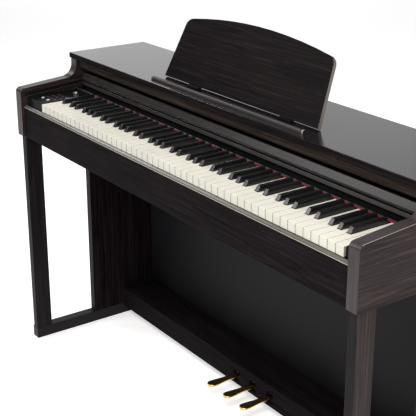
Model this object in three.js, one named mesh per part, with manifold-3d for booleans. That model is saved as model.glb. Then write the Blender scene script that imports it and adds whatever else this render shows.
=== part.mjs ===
// Digital piano on a panel stand. Millimetres, +Z up, keys facing -Y, treble end at +X.
// The origin is on the floor, under the centre of the cabinet.
import * as THREE from "three";
import { mergeVertices } from "three/addons/utils/BufferGeometryUtils.js";
import Module from "manifold-3d";

const wasm = await Module();
wasm.setup();

// ---- Driving dimensions ------------------------------------------------------------------------
const GAP = 0.3; // clearance between pieces that rest on each other

// Cabinet. The case is drawn in its own group: y runs back from the key fronts, z up from the key tops.
const INNER_WIDTH = 1350; // between the cheeks
const CHEEK_THICKNESS = 30;
const DEPTH = 432;
const KEY_TOP_HEIGHT = 757;
const CASE_FRONT = -16; // cheek front face, ahead of the key fronts
const CASE_BACK = CASE_FRONT + DEPTH;
const CHEEK_BOTTOM = -112.5;
const BOARD_OVERHANG = 9.5;
const BOARD_THICKNESS = 15;
const BOARD_TOP = 100;
const BOARD_FRONT = 163;
const REAR_THICKNESS = 10;
const ARM_TOP = 25; // cheek arm behind the rounded nose
const ARM_SLOPE = 0.083; // rise of the cheek arm and of the key cover's tracks
const HALF = INNER_WIDTH / 2;
const HALF_CLEAR = HALF - GAP;
const BOARD_UNDER = BOARD_TOP - BOARD_THICKNESS;

// Keyboard
const WHITE_COUNT = 52;
const WHITE_PITCH = 23.56;
const WHITE_GAP = 0.9; // between two white keys
const KEY_HEIGHT = 21.7;
const HEAD_LENGTH = 50;
const WHITE_LENGTH = 246;
const BLACK_WIDTH = 12;
const BLACK_RISE = 12;
const BLACK_FRONT = 51.1; // behind the white heads, with room to swing
const BLACK_END = 149; // back of the raised part
const BLACK_LENGTH = 262;
const BLACK_BOTTOM = -10;
const BLACK_TAIL_TOP = -2;
const SPINE_TOP = -12; // of the bar behind the white keys
const KEYS_LEFT = -578.85;
const KEYS_RIGHT = KEYS_LEFT + WHITE_COUNT * WHITE_PITCH;
const FIRST_SINGLE = 23; // white keys 23 to 29 are C4 to B4, each its own piece
const SINGLE_COUNT = 7;
const SPINE_DEPTH = 10; // bar that joins a comb of keys at the back
const PIVOT_RAIL_TOP = -24.3;

// Front and inside of the case
const SLIP_FRONT = -8;
const SLIP_THICKNESS = 5.6;
const SLIP_TOP = -29;
const SLIP_BOTTOM = -116.5;
const BED_THICKNESS = 16;
const BED_TOP = SLIP_BOTTOM + BED_THICKNESS;
const PANEL_TOP = 2;
const PANEL_WALL = 3;
const FASCIA_FRONT = 172;
const FASCIA_BOTTOM = 57;
const RAIL_FRONT = 176; // key cover's front rail, slid back
const RAIL_BOTTOM = 25.5;
const RAIL_TOP = 46.5;
const RAIL_DEPTH = 12;
const COVER_BACK = 395;
const COVER_THICKNESS = 4;
const TRACK_WIDTH = 2.7;
const TRACK_HEIGHT = 8;

// Music rest
const REST_BOTTOM_WIDTH = 610;
const REST_TOP_WIDTH = 564;
const REST_HEIGHT = 183;
const REST_SHOULDER = 142; // height of the rest where its top corners start
const REST_THICKNESS = 9;
const REST_LEAN = 23; // degrees back from upright
const REST_FOOT = 226; // y of its front lower edge
const REST_LIFT = 4.3; // gap under the front lower edge
const PROP_PIVOT_UP = 74; // prop's pivot: up the rest, and behind its back face
const PROP_PIVOT_BACK = 3.5;
const PROP_LENGTH = 84;
const PROP_THICKNESS = 3.6;
const PROP_LEFT = 102;
const PROP_RIGHT = 118;
const LEDGE_FRONT = 183;
const LEDGE_DEPTH = 10;
const LEDGE_HEIGHT = 8.5;

// Stand, drawn from the floor
const LEG_WIDTH = 24;
const LEG_FRONT = -208;
const LEG_DEPTH = 49;
const FOOT_HEIGHT = 33.4;
const SIDE_FRONT = -8;
const SIDE_THICKNESS = 25;
const STAND_BACK = DEPTH / 2;
const BOX_FRONT = 96;
const BOX_TOP = 89.7;
const BOX_BOTTOM = 26;
const BOX_WALL = 12;
const PEDAL_SPACING = 72;
const PEDAL_THICKNESS = 8;
const PEDAL_TOP = 58;
const PEDAL_TIP = 0;
const PEDAL_BACK = 186;
const FOOT_GAP = 1; // screw foot's height off the floor

// ---- Materials ---------------------------------------------------------------------------------
const finish = (color, roughness, metalness = 0) =>
  new THREE.MeshStandardMaterial({ color, roughness, metalness });
const ROSEWOOD = finish(0x2e2222, 0.45);
const GLOSS_ROSEWOOD = finish(0x35292a, 0.2);
const PANEL_GREY = finish(0x353335, 0.6);
const IVORY = finish(0xf2efe2, 0.3);
const EBONY = finish(0x121113, 0.35);
const BLACK_PLASTIC = finish(0x17171a, 0.5);
const GREY_PLASTIC = finish(0x8f8f92, 0.4);
const FELT = finish(0xa3121c, 0.95);
const STEEL = finish(0x9a9a9c, 0.4, 0.9);
const BRASS = finish(0xb8923f, 0.25, 1);
const CIRCUIT = finish(0x1f4a2c, 0.6);
const RAW_BOARD = finish(0x6d5946, 0.8);

// ---- Shape helpers -----------------------------------------------------------------------------
const SIDEWAYS = new THREE.Matrix4().makeBasis(
  new THREE.Vector3(0, 1, 0), new THREE.Vector3(0, 0, 1), new THREE.Vector3(1, 0, 0));
const UPRIGHT = new THREE.Matrix4().makeBasis(
  new THREE.Vector3(1, 0, 0), new THREE.Vector3(0, 0, 1), new THREE.Vector3(0, -1, 0));

function outline(points) {
  return new THREE.Shape(points.map(([x, y]) => new THREE.Vector2(x, y)));
}

function extrude(shape, depth, segments = 6) {
  return new THREE.ExtrudeGeometry(shape, { depth, bevelEnabled: false, curveSegments: segments });
}

// A side outline in (y, z), run across the piano from x0 to x1.
function across(shape, x0, x1, segments) {
  return extrude(shape, x1 - x0, segments).applyMatrix4(SIDEWAYS).translate(x0, 0, 0);
}

// An outline in (x, y), run up from z0 to z1.
function upward(shape, z0, z1, segments) {
  return extrude(shape, z1 - z0, segments).translate(0, 0, z0);
}

function block(x0, x1, y0, y1, z0, z1) {
  return new THREE.BoxGeometry(x1 - x0, y1 - y0, z1 - z0)
    .translate((x0 + x1) / 2, (y0 + y1) / 2, (z0 + z1) / 2);
}

// A board whose long edges along x have small chamfers.
function board(x0, x1, y0, y1, z0, z1, arris = 1) {
  const shape = outline([
    [y0 + arris, z0], [y1 - arris, z0], [y1, z0 + arris], [y1, z1 - arris],
    [y1 - arris, z1], [y0 + arris, z1], [y0, z1 - arris], [y0, z0 + arris],
  ]);
  return across(shape, x0, x1);
}

// A post whose four upright edges have small chamfers.
function post(x0, x1, y0, y1, z0, z1, arris = 1) {
  const shape = outline([
    [x0 + arris, y0], [x1 - arris, y0], [x1, y0 + arris], [x1, y1 - arris],
    [x1 - arris, y1], [x0 + arris, y1], [x0, y1 - arris], [x0, y0 + arris],
  ]);
  return upward(shape, z0, z1);
}

function rod(radius, z0, z1, x, y, sides = 20) {
  return new THREE.CylinderGeometry(radius, radius, z1 - z0, sides)
    .rotateX(Math.PI / 2).translate(x, y, (z0 + z1) / 2);
}

// A turned piece: (radius, z) pairs from the axis to the axis.
function turned(profile, x, y, sides = 24) {
  const points = profile.map(([r, z]) => new THREE.Vector2(r, z));
  return new THREE.LatheGeometry(points, sides).rotateX(Math.PI / 2).translate(x, y, 0);
}

function solid(geometry) {
  const bare = geometry.clone();
  bare.deleteAttribute("normal");
  bare.deleteAttribute("uv");
  const merged = mergeVertices(bare, 1e-4);
  return new wasm.Manifold(new wasm.Mesh({
    numProp: 3,
    vertProperties: new Float32Array(merged.attributes.position.array),
    triVerts: new Uint32Array(merged.index.array),
  }));
}

function geometryOf(manifold) {
  const result = manifold.getMesh();
  const geometry = new THREE.BufferGeometry();
  geometry.setAttribute("position", new THREE.BufferAttribute(result.vertProperties, 3));
  geometry.setIndex(new THREE.BufferAttribute(result.triVerts, 1));
  geometry.computeVertexNormals();
  return geometry;
}

function joined(...pieces) {
  return geometryOf(pieces.map(solid).reduce((whole, piece) => whole.add(piece)));
}

function cut(piece, ...cutters) {
  return geometryOf(cutters.map(solid).reduce((rest, cutter) => rest.subtract(cutter), solid(piece)));
}

// ---- Assembly groups ---------------------------------------------------------------------------
const piano = new THREE.Group();
const caseGroup = new THREE.Group();
caseGroup.position.set(0, -DEPTH / 2 - CASE_FRONT, KEY_TOP_HEIGHT);
const stand = new THREE.Group();
piano.add(caseGroup, stand);

function place(group, name, geometry, material) {
  const mesh = new THREE.Mesh(geometry, material);
  mesh.name = name;
  group.add(mesh);
  return mesh;
}

// ---- Cabinet -----------------------------------------------------------------------------------
function cheekOutline() {
  const noseRadius = 12;
  const sweepRadius = 36;
  const sweepStart = BOARD_FRONT - sweepRadius;
  const armEnd = ARM_TOP + ARM_SLOPE * (sweepStart - CASE_FRONT - noseRadius);
  const shape = new THREE.Shape();
  shape.moveTo(CASE_FRONT, CHEEK_BOTTOM);
  shape.lineTo(CASE_BACK - 1, CHEEK_BOTTOM);
  shape.lineTo(CASE_BACK - 1, BOARD_UNDER - GAP);
  shape.lineTo(BOARD_FRONT, BOARD_UNDER - GAP);
  shape.lineTo(BOARD_FRONT, armEnd + sweepRadius);
  shape.absarc(sweepStart, armEnd + sweepRadius, sweepRadius, 0, -Math.PI / 2, true);
  shape.lineTo(CASE_FRONT + noseRadius, ARM_TOP);
  shape.absarc(CASE_FRONT + noseRadius, ARM_TOP - noseRadius, noseRadius, Math.PI / 2, Math.PI, false);
  return shape;
}

function makeCabinet() {
  const outer = HALF + CHEEK_THICKNESS;
  const cheek = cheekOutline();
  place(caseGroup, "left_cheek", across(cheek, -outer, -HALF, 8), ROSEWOOD);
  place(caseGroup, "right_cheek", across(cheek, HALF, outer, 8), ROSEWOOD);
  const boardHalf = outer + BOARD_OVERHANG;
  place(caseGroup, "top_board",
    board(-boardHalf, boardHalf, BOARD_FRONT, CASE_BACK, BOARD_UNDER, BOARD_TOP), GLOSS_ROSEWOOD);
  const rearFront = CASE_BACK - REAR_THICKNESS;
  place(caseGroup, "rear_panel",
    block(-HALF_CLEAR, HALF_CLEAR, rearFront, CASE_BACK, SLIP_BOTTOM, BOARD_UNDER - GAP), RAW_BOARD);
  const bed = block(-HALF_CLEAR, HALF_CLEAR, SLIP_FRONT + SLIP_THICKNESS + GAP, rearFront - GAP,
    SLIP_BOTTOM, BED_TOP);
  const mouths = [-1, 1].map((side) =>
    rod(SPEAKER_MOUTH, SLIP_BOTTOM - 1, BED_TOP + 1, side * SPEAKER_X, SPEAKER_Y, 24));
  place(caseGroup, "key_bed", cut(bed, ...mouths), RAW_BOARD);
  place(caseGroup, "key_slip", board(-HALF_CLEAR, HALF_CLEAR, SLIP_FRONT, SLIP_FRONT + SLIP_THICKNESS,
    SLIP_BOTTOM, SLIP_TOP, 1.2), ROSEWOOD);
}

function makeFascia() {
  const thickness = 18;
  const radius = 10;
  const back = FASCIA_FRONT + thickness;
  const shape = new THREE.Shape();
  shape.moveTo(FASCIA_FRONT, BOARD_UNDER - GAP);
  shape.lineTo(FASCIA_FRONT, FASCIA_BOTTOM + radius);
  shape.absarc(FASCIA_FRONT + radius, FASCIA_BOTTOM + radius, radius, Math.PI, 1.5 * Math.PI, false);
  shape.lineTo(back, FASCIA_BOTTOM);
  shape.lineTo(back, BOARD_UNDER - GAP);
  place(caseGroup, "fascia", across(shape, -HALF_CLEAR, HALF_CLEAR), ROSEWOOD);
}

// The stepped strip behind the keys: a lip over the key tails and two mouldings above it.
function makeFallStrip() {
  const half = HALF - TRACK_WIDTH - 2 * GAP;
  const lipFront = 157;
  const lipBottom = 2.6;
  const lipTop = 5.2;
  const top = RAIL_BOTTOM - 3.1;
  const bandBottom = 14;
  const step = 4; // how far the upper band stands ahead of the groove under it
  const back = RAIL_FRONT + RAIL_DEPTH;
  const shape = outline([
    [lipFront, lipBottom], [back, lipBottom], [back, top], [RAIL_FRONT, top], [RAIL_FRONT, bandBottom],
    [RAIL_FRONT + step, bandBottom - 0.6], [RAIL_FRONT + step, lipTop], [lipFront, lipTop],
  ]);
  place(caseGroup, "fall_strip", across(shape, -half, half), BLACK_PLASTIC);
  const feltFront = 152.5;
  const feltBottom = 1;
  place(caseGroup, "key_felt", block(KEYS_LEFT, KEYS_RIGHT, feltFront, RAIL_FRONT - 2 * GAP,
    feltBottom, lipBottom - GAP), FELT);
}

// ---- Key cover on its tracks -------------------------------------------------------------------
const coverUnder = (y) => RAIL_BOTTOM + 1.4 + ARM_SLOPE * (y - RAIL_FRONT - RAIL_DEPTH); // its underside

function makeKeyCover() {
  const railHalf = HALF - TRACK_WIDTH - 2 * GAP;
  const back = RAIL_FRONT + RAIL_DEPTH;
  const radius = 4;
  const rebate = 1.5; // step along the rail's lower front edge
  const rail = new THREE.Shape();
  rail.moveTo(RAIL_FRONT + rebate, RAIL_BOTTOM);
  rail.lineTo(back, RAIL_BOTTOM);
  rail.lineTo(back, RAIL_TOP);
  rail.lineTo(RAIL_FRONT + radius, RAIL_TOP);
  rail.absarc(RAIL_FRONT + radius, RAIL_TOP - radius, radius, Math.PI / 2, Math.PI, false);
  rail.lineTo(RAIL_FRONT, RAIL_BOTTOM + 5);
  rail.lineTo(RAIL_FRONT + rebate, RAIL_BOTTOM + 4);
  place(caseGroup, "cover_rail", across(rail, -railHalf, railHalf, 4), ROSEWOOD);
  const front = back + GAP;
  const slab = outline([
    [front, coverUnder(front)], [COVER_BACK, coverUnder(COVER_BACK)],
    [COVER_BACK, coverUnder(COVER_BACK) + COVER_THICKNESS], [front, coverUnder(front) + COVER_THICKNESS],
  ]);
  place(caseGroup, "key_cover", across(slab, -HALF_CLEAR, HALF_CLEAR), ROSEWOOD);
}

function makeCoverTracks() {
  const front = -2;
  const top = (y) => coverUnder(y) - GAP;
  const shape = outline([
    [front, top(front) - TRACK_HEIGHT], [COVER_BACK, top(COVER_BACK) - TRACK_HEIGHT],
    [COVER_BACK, top(COVER_BACK)], [front, top(front)],
  ]);
  const inner = HALF - TRACK_WIDTH;
  place(caseGroup, "left_cover_track", across(shape, -HALF_CLEAR, -inner), BLACK_PLASTIC);
  place(caseGroup, "right_cover_track", across(shape, inner, HALF_CLEAR), BLACK_PLASTIC);
}

// ---- Keyboard ----------------------------------------------------------------------------------
const LETTERS = "cdefgab";
const letterOf = (white) => (white + 5) % 7; // white key 0 is A0; 0 is a C
const octaveOf = (white) => Math.floor((white + 5) / 7);
const octaveLeft = (white) => KEYS_LEFT + (white - letterOf(white)) * WHITE_PITCH;

// The narrow back part of each key shares its group's width equally: C to E in 5, F to B in 7.
function tailSpan(white) {
  const letter = letterOf(white);
  const lowGroup = letter < 3;
  const share = (lowGroup ? 3 / 5 : 4 / 7) * WHITE_PITCH;
  const groupLeft = octaveLeft(white) + (lowGroup ? 0 : 3 * WHITE_PITCH);
  const slot = 2 * (lowGroup ? letter : letter - 3);
  return [groupLeft + slot * share, groupLeft + (slot + 1) * share];
}

const hasSharp = (white) => ![2, 6].includes(letterOf(white)) && white < WHITE_COUNT - 1;

function whiteKey(white) {
  const left = KEYS_LEFT + white * WHITE_PITCH + WHITE_GAP / 2;
  const right = left + WHITE_PITCH - WHITE_GAP;
  const [tailLeft, tailRight] = tailSpan(white);
  const back0 = white === 0 ? left : Math.max(left, tailLeft + GAP);
  const back1 = white === WHITE_COUNT - 1 ? right : Math.min(right, tailRight - GAP);
  const points = [[left, 0], [right, 0], [right, HEAD_LENGTH]];
  if (back1 < right) points.push([back1, HEAD_LENGTH]);
  points.push([back1, WHITE_LENGTH], [back0, WHITE_LENGTH]);
  if (back0 > left) points.push([back0, HEAD_LENGTH]);
  points.push([left, HEAD_LENGTH]);
  return upward(outline(points), -KEY_HEIGHT, 0);
}

function blackKey(white) {
  const centre = (tailSpan(white)[1] + tailSpan(white + 1)[0]) / 2;
  const slope = 6; // length of the sloped front
  const shape = outline([
    [BLACK_FRONT, BLACK_BOTTOM], [BLACK_LENGTH, BLACK_BOTTOM], [BLACK_LENGTH, BLACK_TAIL_TOP],
    [BLACK_END + 1, BLACK_TAIL_TOP], [BLACK_END, BLACK_RISE], [BLACK_FRONT + slope, BLACK_RISE],
    [BLACK_FRONT, 1],
  ]);
  return across(shape, centre - BLACK_WIDTH / 2, centre + BLACK_WIDTH / 2);
}

function boundsOf(geometries) {
  const box = new THREE.Box3();
  for (const geometry of geometries) {
    geometry.computeBoundingBox();
    box.union(geometry.boundingBox);
  }
  return box;
}

// Keys of one kind in one register, joined at the back by a spine.
function comb(keys, back, bottom, top) {
  const box = boundsOf(keys);
  const spine = block(box.min.x, box.max.x, back - SPINE_DEPTH, back, bottom, top);
  return joined(spine, ...keys);
}

function makeKeyboard() {
  const whites = [...Array(WHITE_COUNT).keys()];
  const afterSingles = FIRST_SINGLE + SINGLE_COUNT;
  const registers = {
    lower: whites.filter((white) => white < FIRST_SINGLE),
    upper: whites.filter((white) => white >= afterSingles),
  };
  for (const [name, members] of Object.entries(registers)) {
    place(caseGroup, `${name}_naturals`,
      comb(members.map(whiteKey), WHITE_LENGTH, -KEY_HEIGHT, SPINE_TOP), IVORY);
    place(caseGroup, `${name}_sharps`,
      comb(members.filter(hasSharp).map(blackKey), BLACK_LENGTH, BLACK_BOTTOM, BLACK_TAIL_TOP), EBONY);
  }
  for (const white of whites.slice(FIRST_SINGLE, afterSingles)) {
    const letter = LETTERS[letterOf(white)];
    const octave = octaveOf(white);
    place(caseGroup, `key_${letter}${octave}`, whiteKey(white), IVORY);
    if (hasSharp(white)) place(caseGroup, `key_${letter}_sharp${octave}`, blackKey(white), EBONY);
  }
}

// The steel tray under the keys, with a stop rail in front and the pivot rail behind.
function makeKeyFrame() {
  const bottom = BED_TOP + GAP;
  const sheet = 4;
  const back = BLACK_LENGTH + sheet;
  const pivotRail = 222;
  const stopRail = { front: 18, back: 46, top: -38 };
  const shape = outline([
    [stopRail.front, bottom], [back, bottom], [back, PIVOT_RAIL_TOP], [pivotRail, PIVOT_RAIL_TOP],
    [pivotRail, bottom + sheet], [stopRail.back, bottom + sheet], [stopRail.back, stopRail.top],
    [stopRail.front, stopRail.top],
  ]);
  place(caseGroup, "key_frame", across(shape, KEYS_LEFT, KEYS_RIGHT), STEEL);
}

// ---- Control panel and right key block ---------------------------------------------------------
const SIDE_GAP = 0.7; // between the outer keys and the blocks beside them
const PANEL_LEFT = 8 - HALF;
const PANEL_RIGHT = KEYS_LEFT - SIDE_GAP;
const KNOB_AT = [-589, 112];
const ROUND_BUTTONS = { power_button: [-631, 31], demo_button: [-601, 31] };
const ROUND_RADIUS = 4.5;
const COLUMNS_X = [-634, -612, -590];
const ROWS_Y = [48, 66, 84];
const CAP_WIDTH = 11;
const CAP_DEPTH = 5;
const HOLE_GAP = 0.4; // round each button in its hole
const STEM_RADIUS = 3; // of the volume knob

function makeControlPanel() {
  const front = 2;
  const back = RAIL_FRONT - 2 * GAP;
  const bottom = BED_TOP + GAP;
  const shell = board(PANEL_LEFT, PANEL_RIGHT, front, back, bottom, PANEL_TOP);
  const hollow = block(PANEL_LEFT + PANEL_WALL, PANEL_RIGHT - PANEL_WALL, front + PANEL_WALL,
    back - PANEL_WALL, bottom - 1, PANEL_TOP - PANEL_WALL);
  const deep = PANEL_TOP - PANEL_WALL - 1;
  const holes = Object.values(ROUND_BUTTONS).map(([x, y]) =>
    rod(ROUND_RADIUS + HOLE_GAP, deep, PANEL_TOP + 1, x, y));
  holes.push(rod(STEM_RADIUS + HOLE_GAP, deep, PANEL_TOP + 1, ...KNOB_AT));
  const holeX = CAP_WIDTH / 2 + HOLE_GAP;
  const holeY = CAP_DEPTH / 2 + HOLE_GAP;
  for (const x of COLUMNS_X) {
    for (const y of ROWS_Y) {
      holes.push(block(x - holeX, x + holeX, y - holeY, y + holeY, deep, PANEL_TOP + 1));
    }
  }
  place(caseGroup, "control_panel", cut(shell, hollow, ...holes), BLACK_PLASTIC);
  place(caseGroup, "right_key_block",
    board(KEYS_RIGHT + SIDE_GAP, HALF_CLEAR, front + 2, back, bottom, 0.5), BLACK_PLASTIC);
}

function makeControls() {
  const under = PANEL_TOP - PANEL_WALL;
  const [knobX, knobY] = KNOB_AT;
  place(caseGroup, "volume_knob", turned([
    [0, under - 5], [STEM_RADIUS, under - 5], [STEM_RADIUS, PANEL_TOP + 0.4], [7.6, PANEL_TOP + 0.4],
    [8, PANEL_TOP + 1.4], [7.4, PANEL_TOP + 13], [6.6, PANEL_TOP + 14], [0, PANEL_TOP + 14],
  ], knobX, knobY), BLACK_PLASTIC);
  for (const [name, [x, y]] of Object.entries(ROUND_BUTTONS)) {
    place(caseGroup, name, turned([
      [0, under - 6], [2, under - 6], [2, under - 4], [ROUND_RADIUS + 1.4, under - 4],
      [ROUND_RADIUS + 1.4, under - 2], [ROUND_RADIUS, under - 2], [ROUND_RADIUS, PANEL_TOP + 1.6],
      [ROUND_RADIUS - 0.8, PANEL_TOP + 2.2], [0, PANEL_TOP + 2.2],
    ], x, y), GREY_PLASTIC);
  }
  COLUMNS_X.forEach((x, column) => {
    const web = block(x - CAP_WIDTH / 2 - 1, x + CAP_WIDTH / 2 + 1, ROWS_Y[0] - CAP_DEPTH,
      ROWS_Y[ROWS_Y.length - 1] + CAP_DEPTH, under - 5, under - 3);
    const caps = ROWS_Y.map((y) => block(x - CAP_WIDTH / 2, x + CAP_WIDTH / 2,
      y - CAP_DEPTH / 2, y + CAP_DEPTH / 2, under - 4, PANEL_TOP + 1.4));
    place(caseGroup, `function_buttons_${column + 1}`, joined(web, ...caps), GREY_PLASTIC);
  });
}

// ---- Music rest --------------------------------------------------------------------------------
const LEAN = THREE.MathUtils.degToRad(REST_LEAN);

// The rest stands upright on the origin, then is leaned back and set on the top board.
function leanBack(geometry) {
  return geometry.rotateX(-LEAN).translate(0, REST_FOOT, BOARD_TOP + REST_LIFT);
}

function restOutline() {
  const half = REST_BOTTOM_WIDTH / 2;
  const topHalf = REST_TOP_WIDTH / 2;
  const crown = 21; // how much higher the middle of the top edge is than its corners
  const cornerEnd = REST_HEIGHT - crown;
  const inset = 24; // width of a rounded corner
  const sideEnd = topHalf + 4;
  const shape = new THREE.Shape();
  shape.moveTo(-half, 0);
  shape.lineTo(half, 0);
  shape.lineTo(sideEnd, REST_SHOULDER);
  shape.quadraticCurveTo(topHalf, cornerEnd - 3, topHalf - inset, cornerEnd);
  shape.quadraticCurveTo(0, REST_HEIGHT + crown, inset - topHalf, cornerEnd);
  shape.quadraticCurveTo(-topHalf, cornerEnd - 3, -sideEnd, REST_SHOULDER);
  return shape;
}

function makeMusicRest() {
  const plate = extrude(restOutline(), REST_THICKNESS, 10).applyMatrix4(UPRIGHT)
    .translate(0, REST_THICKNESS, 0);
  const earWidth = 5;
  const earSize = 4.8;
  const ears = [PROP_LEFT - earWidth - GAP, PROP_RIGHT + GAP].map((x) =>
    block(x, x + earWidth, REST_THICKNESS - 1, REST_THICKNESS + earSize,
      PROP_PIVOT_UP - earSize, PROP_PIVOT_UP + earSize));
  place(caseGroup, "music_rest", leanBack(joined(plate, ...ears)), ROSEWOOD);
}

// The stay behind the rest: pivoted between the two ears, with its foot on the top board.
function makeRestProp() {
  const back = REST_THICKNESS + PROP_PIVOT_BACK;
  const pivotY = REST_FOOT + back * Math.cos(LEAN) + PROP_PIVOT_UP * Math.sin(LEAN);
  const pivotZ = BOARD_TOP + REST_LIFT - back * Math.sin(LEAN) + PROP_PIVOT_UP * Math.cos(LEAN);
  const footRadius = 3;
  const drop = pivotZ - BOARD_TOP - footRadius;
  const half = PROP_THICKNESS / 2;
  const bar = outline([
    [-half, -half], [PROP_LENGTH, -half], [PROP_LENGTH + half, 0], [PROP_LENGTH, half], [-half, half],
  ]);
  place(caseGroup, "rest_prop", across(bar, PROP_LEFT, PROP_RIGHT)
    .rotateX(-Math.asin(drop / PROP_LENGTH)).translate(0, pivotY, pivotZ), STEEL);
}

// The bar that stops the music, and the low blocks in front of the rest's lower edge.
function makeRestFittings() {
  const bottom = BOARD_TOP + GAP;
  const middle = LEDGE_FRONT + LEDGE_DEPTH / 2;
  const ledgeSide = 3;
  const ledge = new THREE.Shape();
  ledge.moveTo(LEDGE_FRONT, bottom);
  ledge.lineTo(LEDGE_FRONT + LEDGE_DEPTH, bottom);
  ledge.absellipse(middle, bottom + ledgeSide, LEDGE_DEPTH / 2, LEDGE_HEIGHT - ledgeSide,
    0, Math.PI, false);
  place(caseGroup, "music_ledge", across(ledge, -REST_BOTTOM_WIDTH / 2, REST_BOTTOM_WIDTH / 2),
    ROSEWOOD);
  const blocks = { left_rest_block: [-186, -136], right_rest_block: [179, 226] };
  for (const [name, [x0, x1]] of Object.entries(blocks)) {
    place(caseGroup, name, board(x0, x1, REST_FOOT - 12, REST_FOOT - 1, bottom,
      BOARD_TOP + REST_LIFT + 1.8, 0.8), BLACK_PLASTIC);
  }
}

// ---- Inside the case and under it --------------------------------------------------------------
const SPEAKER_X = 450;
const SPEAKER_Y = 336;
const SPEAKER_RADIUS = 60;
const SPEAKER_MOUTH = 52;
const MAGNET_RADIUS = 24;
const INSIDE_BASE = BED_TOP + GAP;

function makeSpeakers() {
  const front = SLIP_BOTTOM + 2;
  const neck = SPEAKER_MOUTH - GAP;
  const rim = INSIDE_BASE + 4;
  const basket = INSIDE_BASE + 30;
  const back = INSIDE_BASE + 44;
  for (const [name, side] of [["left_speaker", -1], ["right_speaker", 1]]) {
    place(caseGroup, name, turned([
      [0, front], [neck, front], [neck, INSIDE_BASE], [SPEAKER_RADIUS, INSIDE_BASE], [SPEAKER_RADIUS, rim],
      [SPEAKER_MOUTH, rim + 2], [MAGNET_RADIUS, basket], [MAGNET_RADIUS, back], [0, back],
    ], side * SPEAKER_X, SPEAKER_Y), BLACK_PLASTIC);
  }
}

// The circuit board on its four feet, with its larger components.
function makeMainBoard() {
  const [left, right, front, back] = [-180, 120, 286, 392];
  const under = INSIDE_BASE + 6;
  const top = under + 2;
  const inset = 8;
  const sheet = block(left, right, front, back, under, top);
  const components = [
    { at: [-150, 300], size: [60, 30], height: 8 },
    { at: [-60, 320], size: [34, 34], height: 5 },
    { at: [0, 300], size: [70, 26], height: 18 },
    { at: [40, 350], size: [50, 30], height: 10 },
  ].map(({ at: [x, y], size: [width, depth], height }) =>
    block(x, x + width, y, y + depth, top - 1, top + height));
  const feet = [left + inset, right - inset].flatMap((x) =>
    [front + inset, back - inset].map((y) => rod(4, INSIDE_BASE, under + 1, x, y, 12)));
  place(caseGroup, "main_board", joined(sheet, ...components, ...feet), CIRCUIT);
}

// The power socket under the key bed, open downwards.
function makePowerInlet() {
  const [left, right, front, back] = [560, 640, 330, 380];
  const bottom = SLIP_BOTTOM - 22;
  const housing = board(left, right, front, back, bottom, SLIP_BOTTOM - GAP);
  const recess = block(left + 28, right - 28, front + 18, back - 18, bottom - 1, SLIP_BOTTOM - 7);
  place(caseGroup, "power_inlet", cut(housing, recess), BLACK_PLASTIC);
}

// ---- Stand -------------------------------------------------------------------------------------
function makeSides() {
  const under = KEY_TOP_HEIGHT + CHEEK_BOTTOM - GAP;
  for (const [name, side] of [["left", -1], ["right", 1]]) {
    const span = (width) => (side < 0 ? [-HALF - width, -HALF] : [HALF, HALF + width]);
    place(stand, `${name}_leg`, post(...span(LEG_WIDTH), LEG_FRONT, LEG_FRONT + LEG_DEPTH,
      FOOT_HEIGHT + GAP, under), ROSEWOOD);
    place(stand, `${name}_side_panel`, post(...span(SIDE_THICKNESS), SIDE_FRONT, STAND_BACK,
      FOOT_HEIGHT + GAP, under), ROSEWOOD);
    place(stand, `${name}_foot_rail`, post(...span(CHEEK_THICKNESS), LEG_FRONT, STAND_BACK,
      0, FOOT_HEIGHT), ROSEWOOD);
  }
  const top = KEY_TOP_HEIGHT + SLIP_BOTTOM - GAP;
  place(stand, "kick_board", block(-HALF_CLEAR, HALF_CLEAR, STAND_BACK - REAR_THICKNESS, STAND_BACK,
    BOX_TOP + GAP, top), PANEL_GREY);
}

function makePedalBox() {
  const lidBottom = BOX_TOP - BOX_WALL;
  const shape = outline([
    [BOX_FRONT, BOX_BOTTOM], [BOX_FRONT + BOX_WALL, BOX_BOTTOM], [BOX_FRONT + BOX_WALL, lidBottom],
    [STAND_BACK, lidBottom], [STAND_BACK, BOX_TOP], [BOX_FRONT + 1, BOX_TOP], [BOX_FRONT, BOX_TOP - 1],
  ]);
  const slotHalf = 15;
  const [slotBottom, slotTop] = [36, 66];
  const slots = [-PEDAL_SPACING, 0, PEDAL_SPACING].map((x) => block(x - slotHalf, x + slotHalf,
    BOX_FRONT - 1, BOX_FRONT + BOX_WALL + 1, slotBottom, slotTop));
  place(stand, "pedal_box", cut(across(shape, -HALF_CLEAR, HALF_CLEAR), ...slots), ROSEWOOD);
}

function pedalOutline(x) {
  const stem = 9; // half widths
  const spoon = 14;
  const stemFront = PEDAL_TIP + 62;
  const waist = PEDAL_TIP + 44;
  const shape = new THREE.Shape();
  shape.moveTo(x - stem, PEDAL_BACK);
  shape.lineTo(x - stem, stemFront);
  shape.quadraticCurveTo(x - spoon, waist, x - spoon, PEDAL_TIP + spoon);
  shape.absarc(x, PEDAL_TIP + spoon, spoon, Math.PI, 2 * Math.PI, false);
  shape.quadraticCurveTo(x + spoon, waist, x + stem, stemFront);
  shape.lineTo(x + stem, PEDAL_BACK);
  return shape;
}

function makePedals() {
  ["soft_pedal", "sostenuto_pedal", "damper_pedal"].forEach((name, index) => {
    const shape = pedalOutline((index - 1) * PEDAL_SPACING);
    place(stand, name, upward(shape, PEDAL_TOP - PEDAL_THICKNESS, PEDAL_TOP, 6), BRASS);
  });
}

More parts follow.
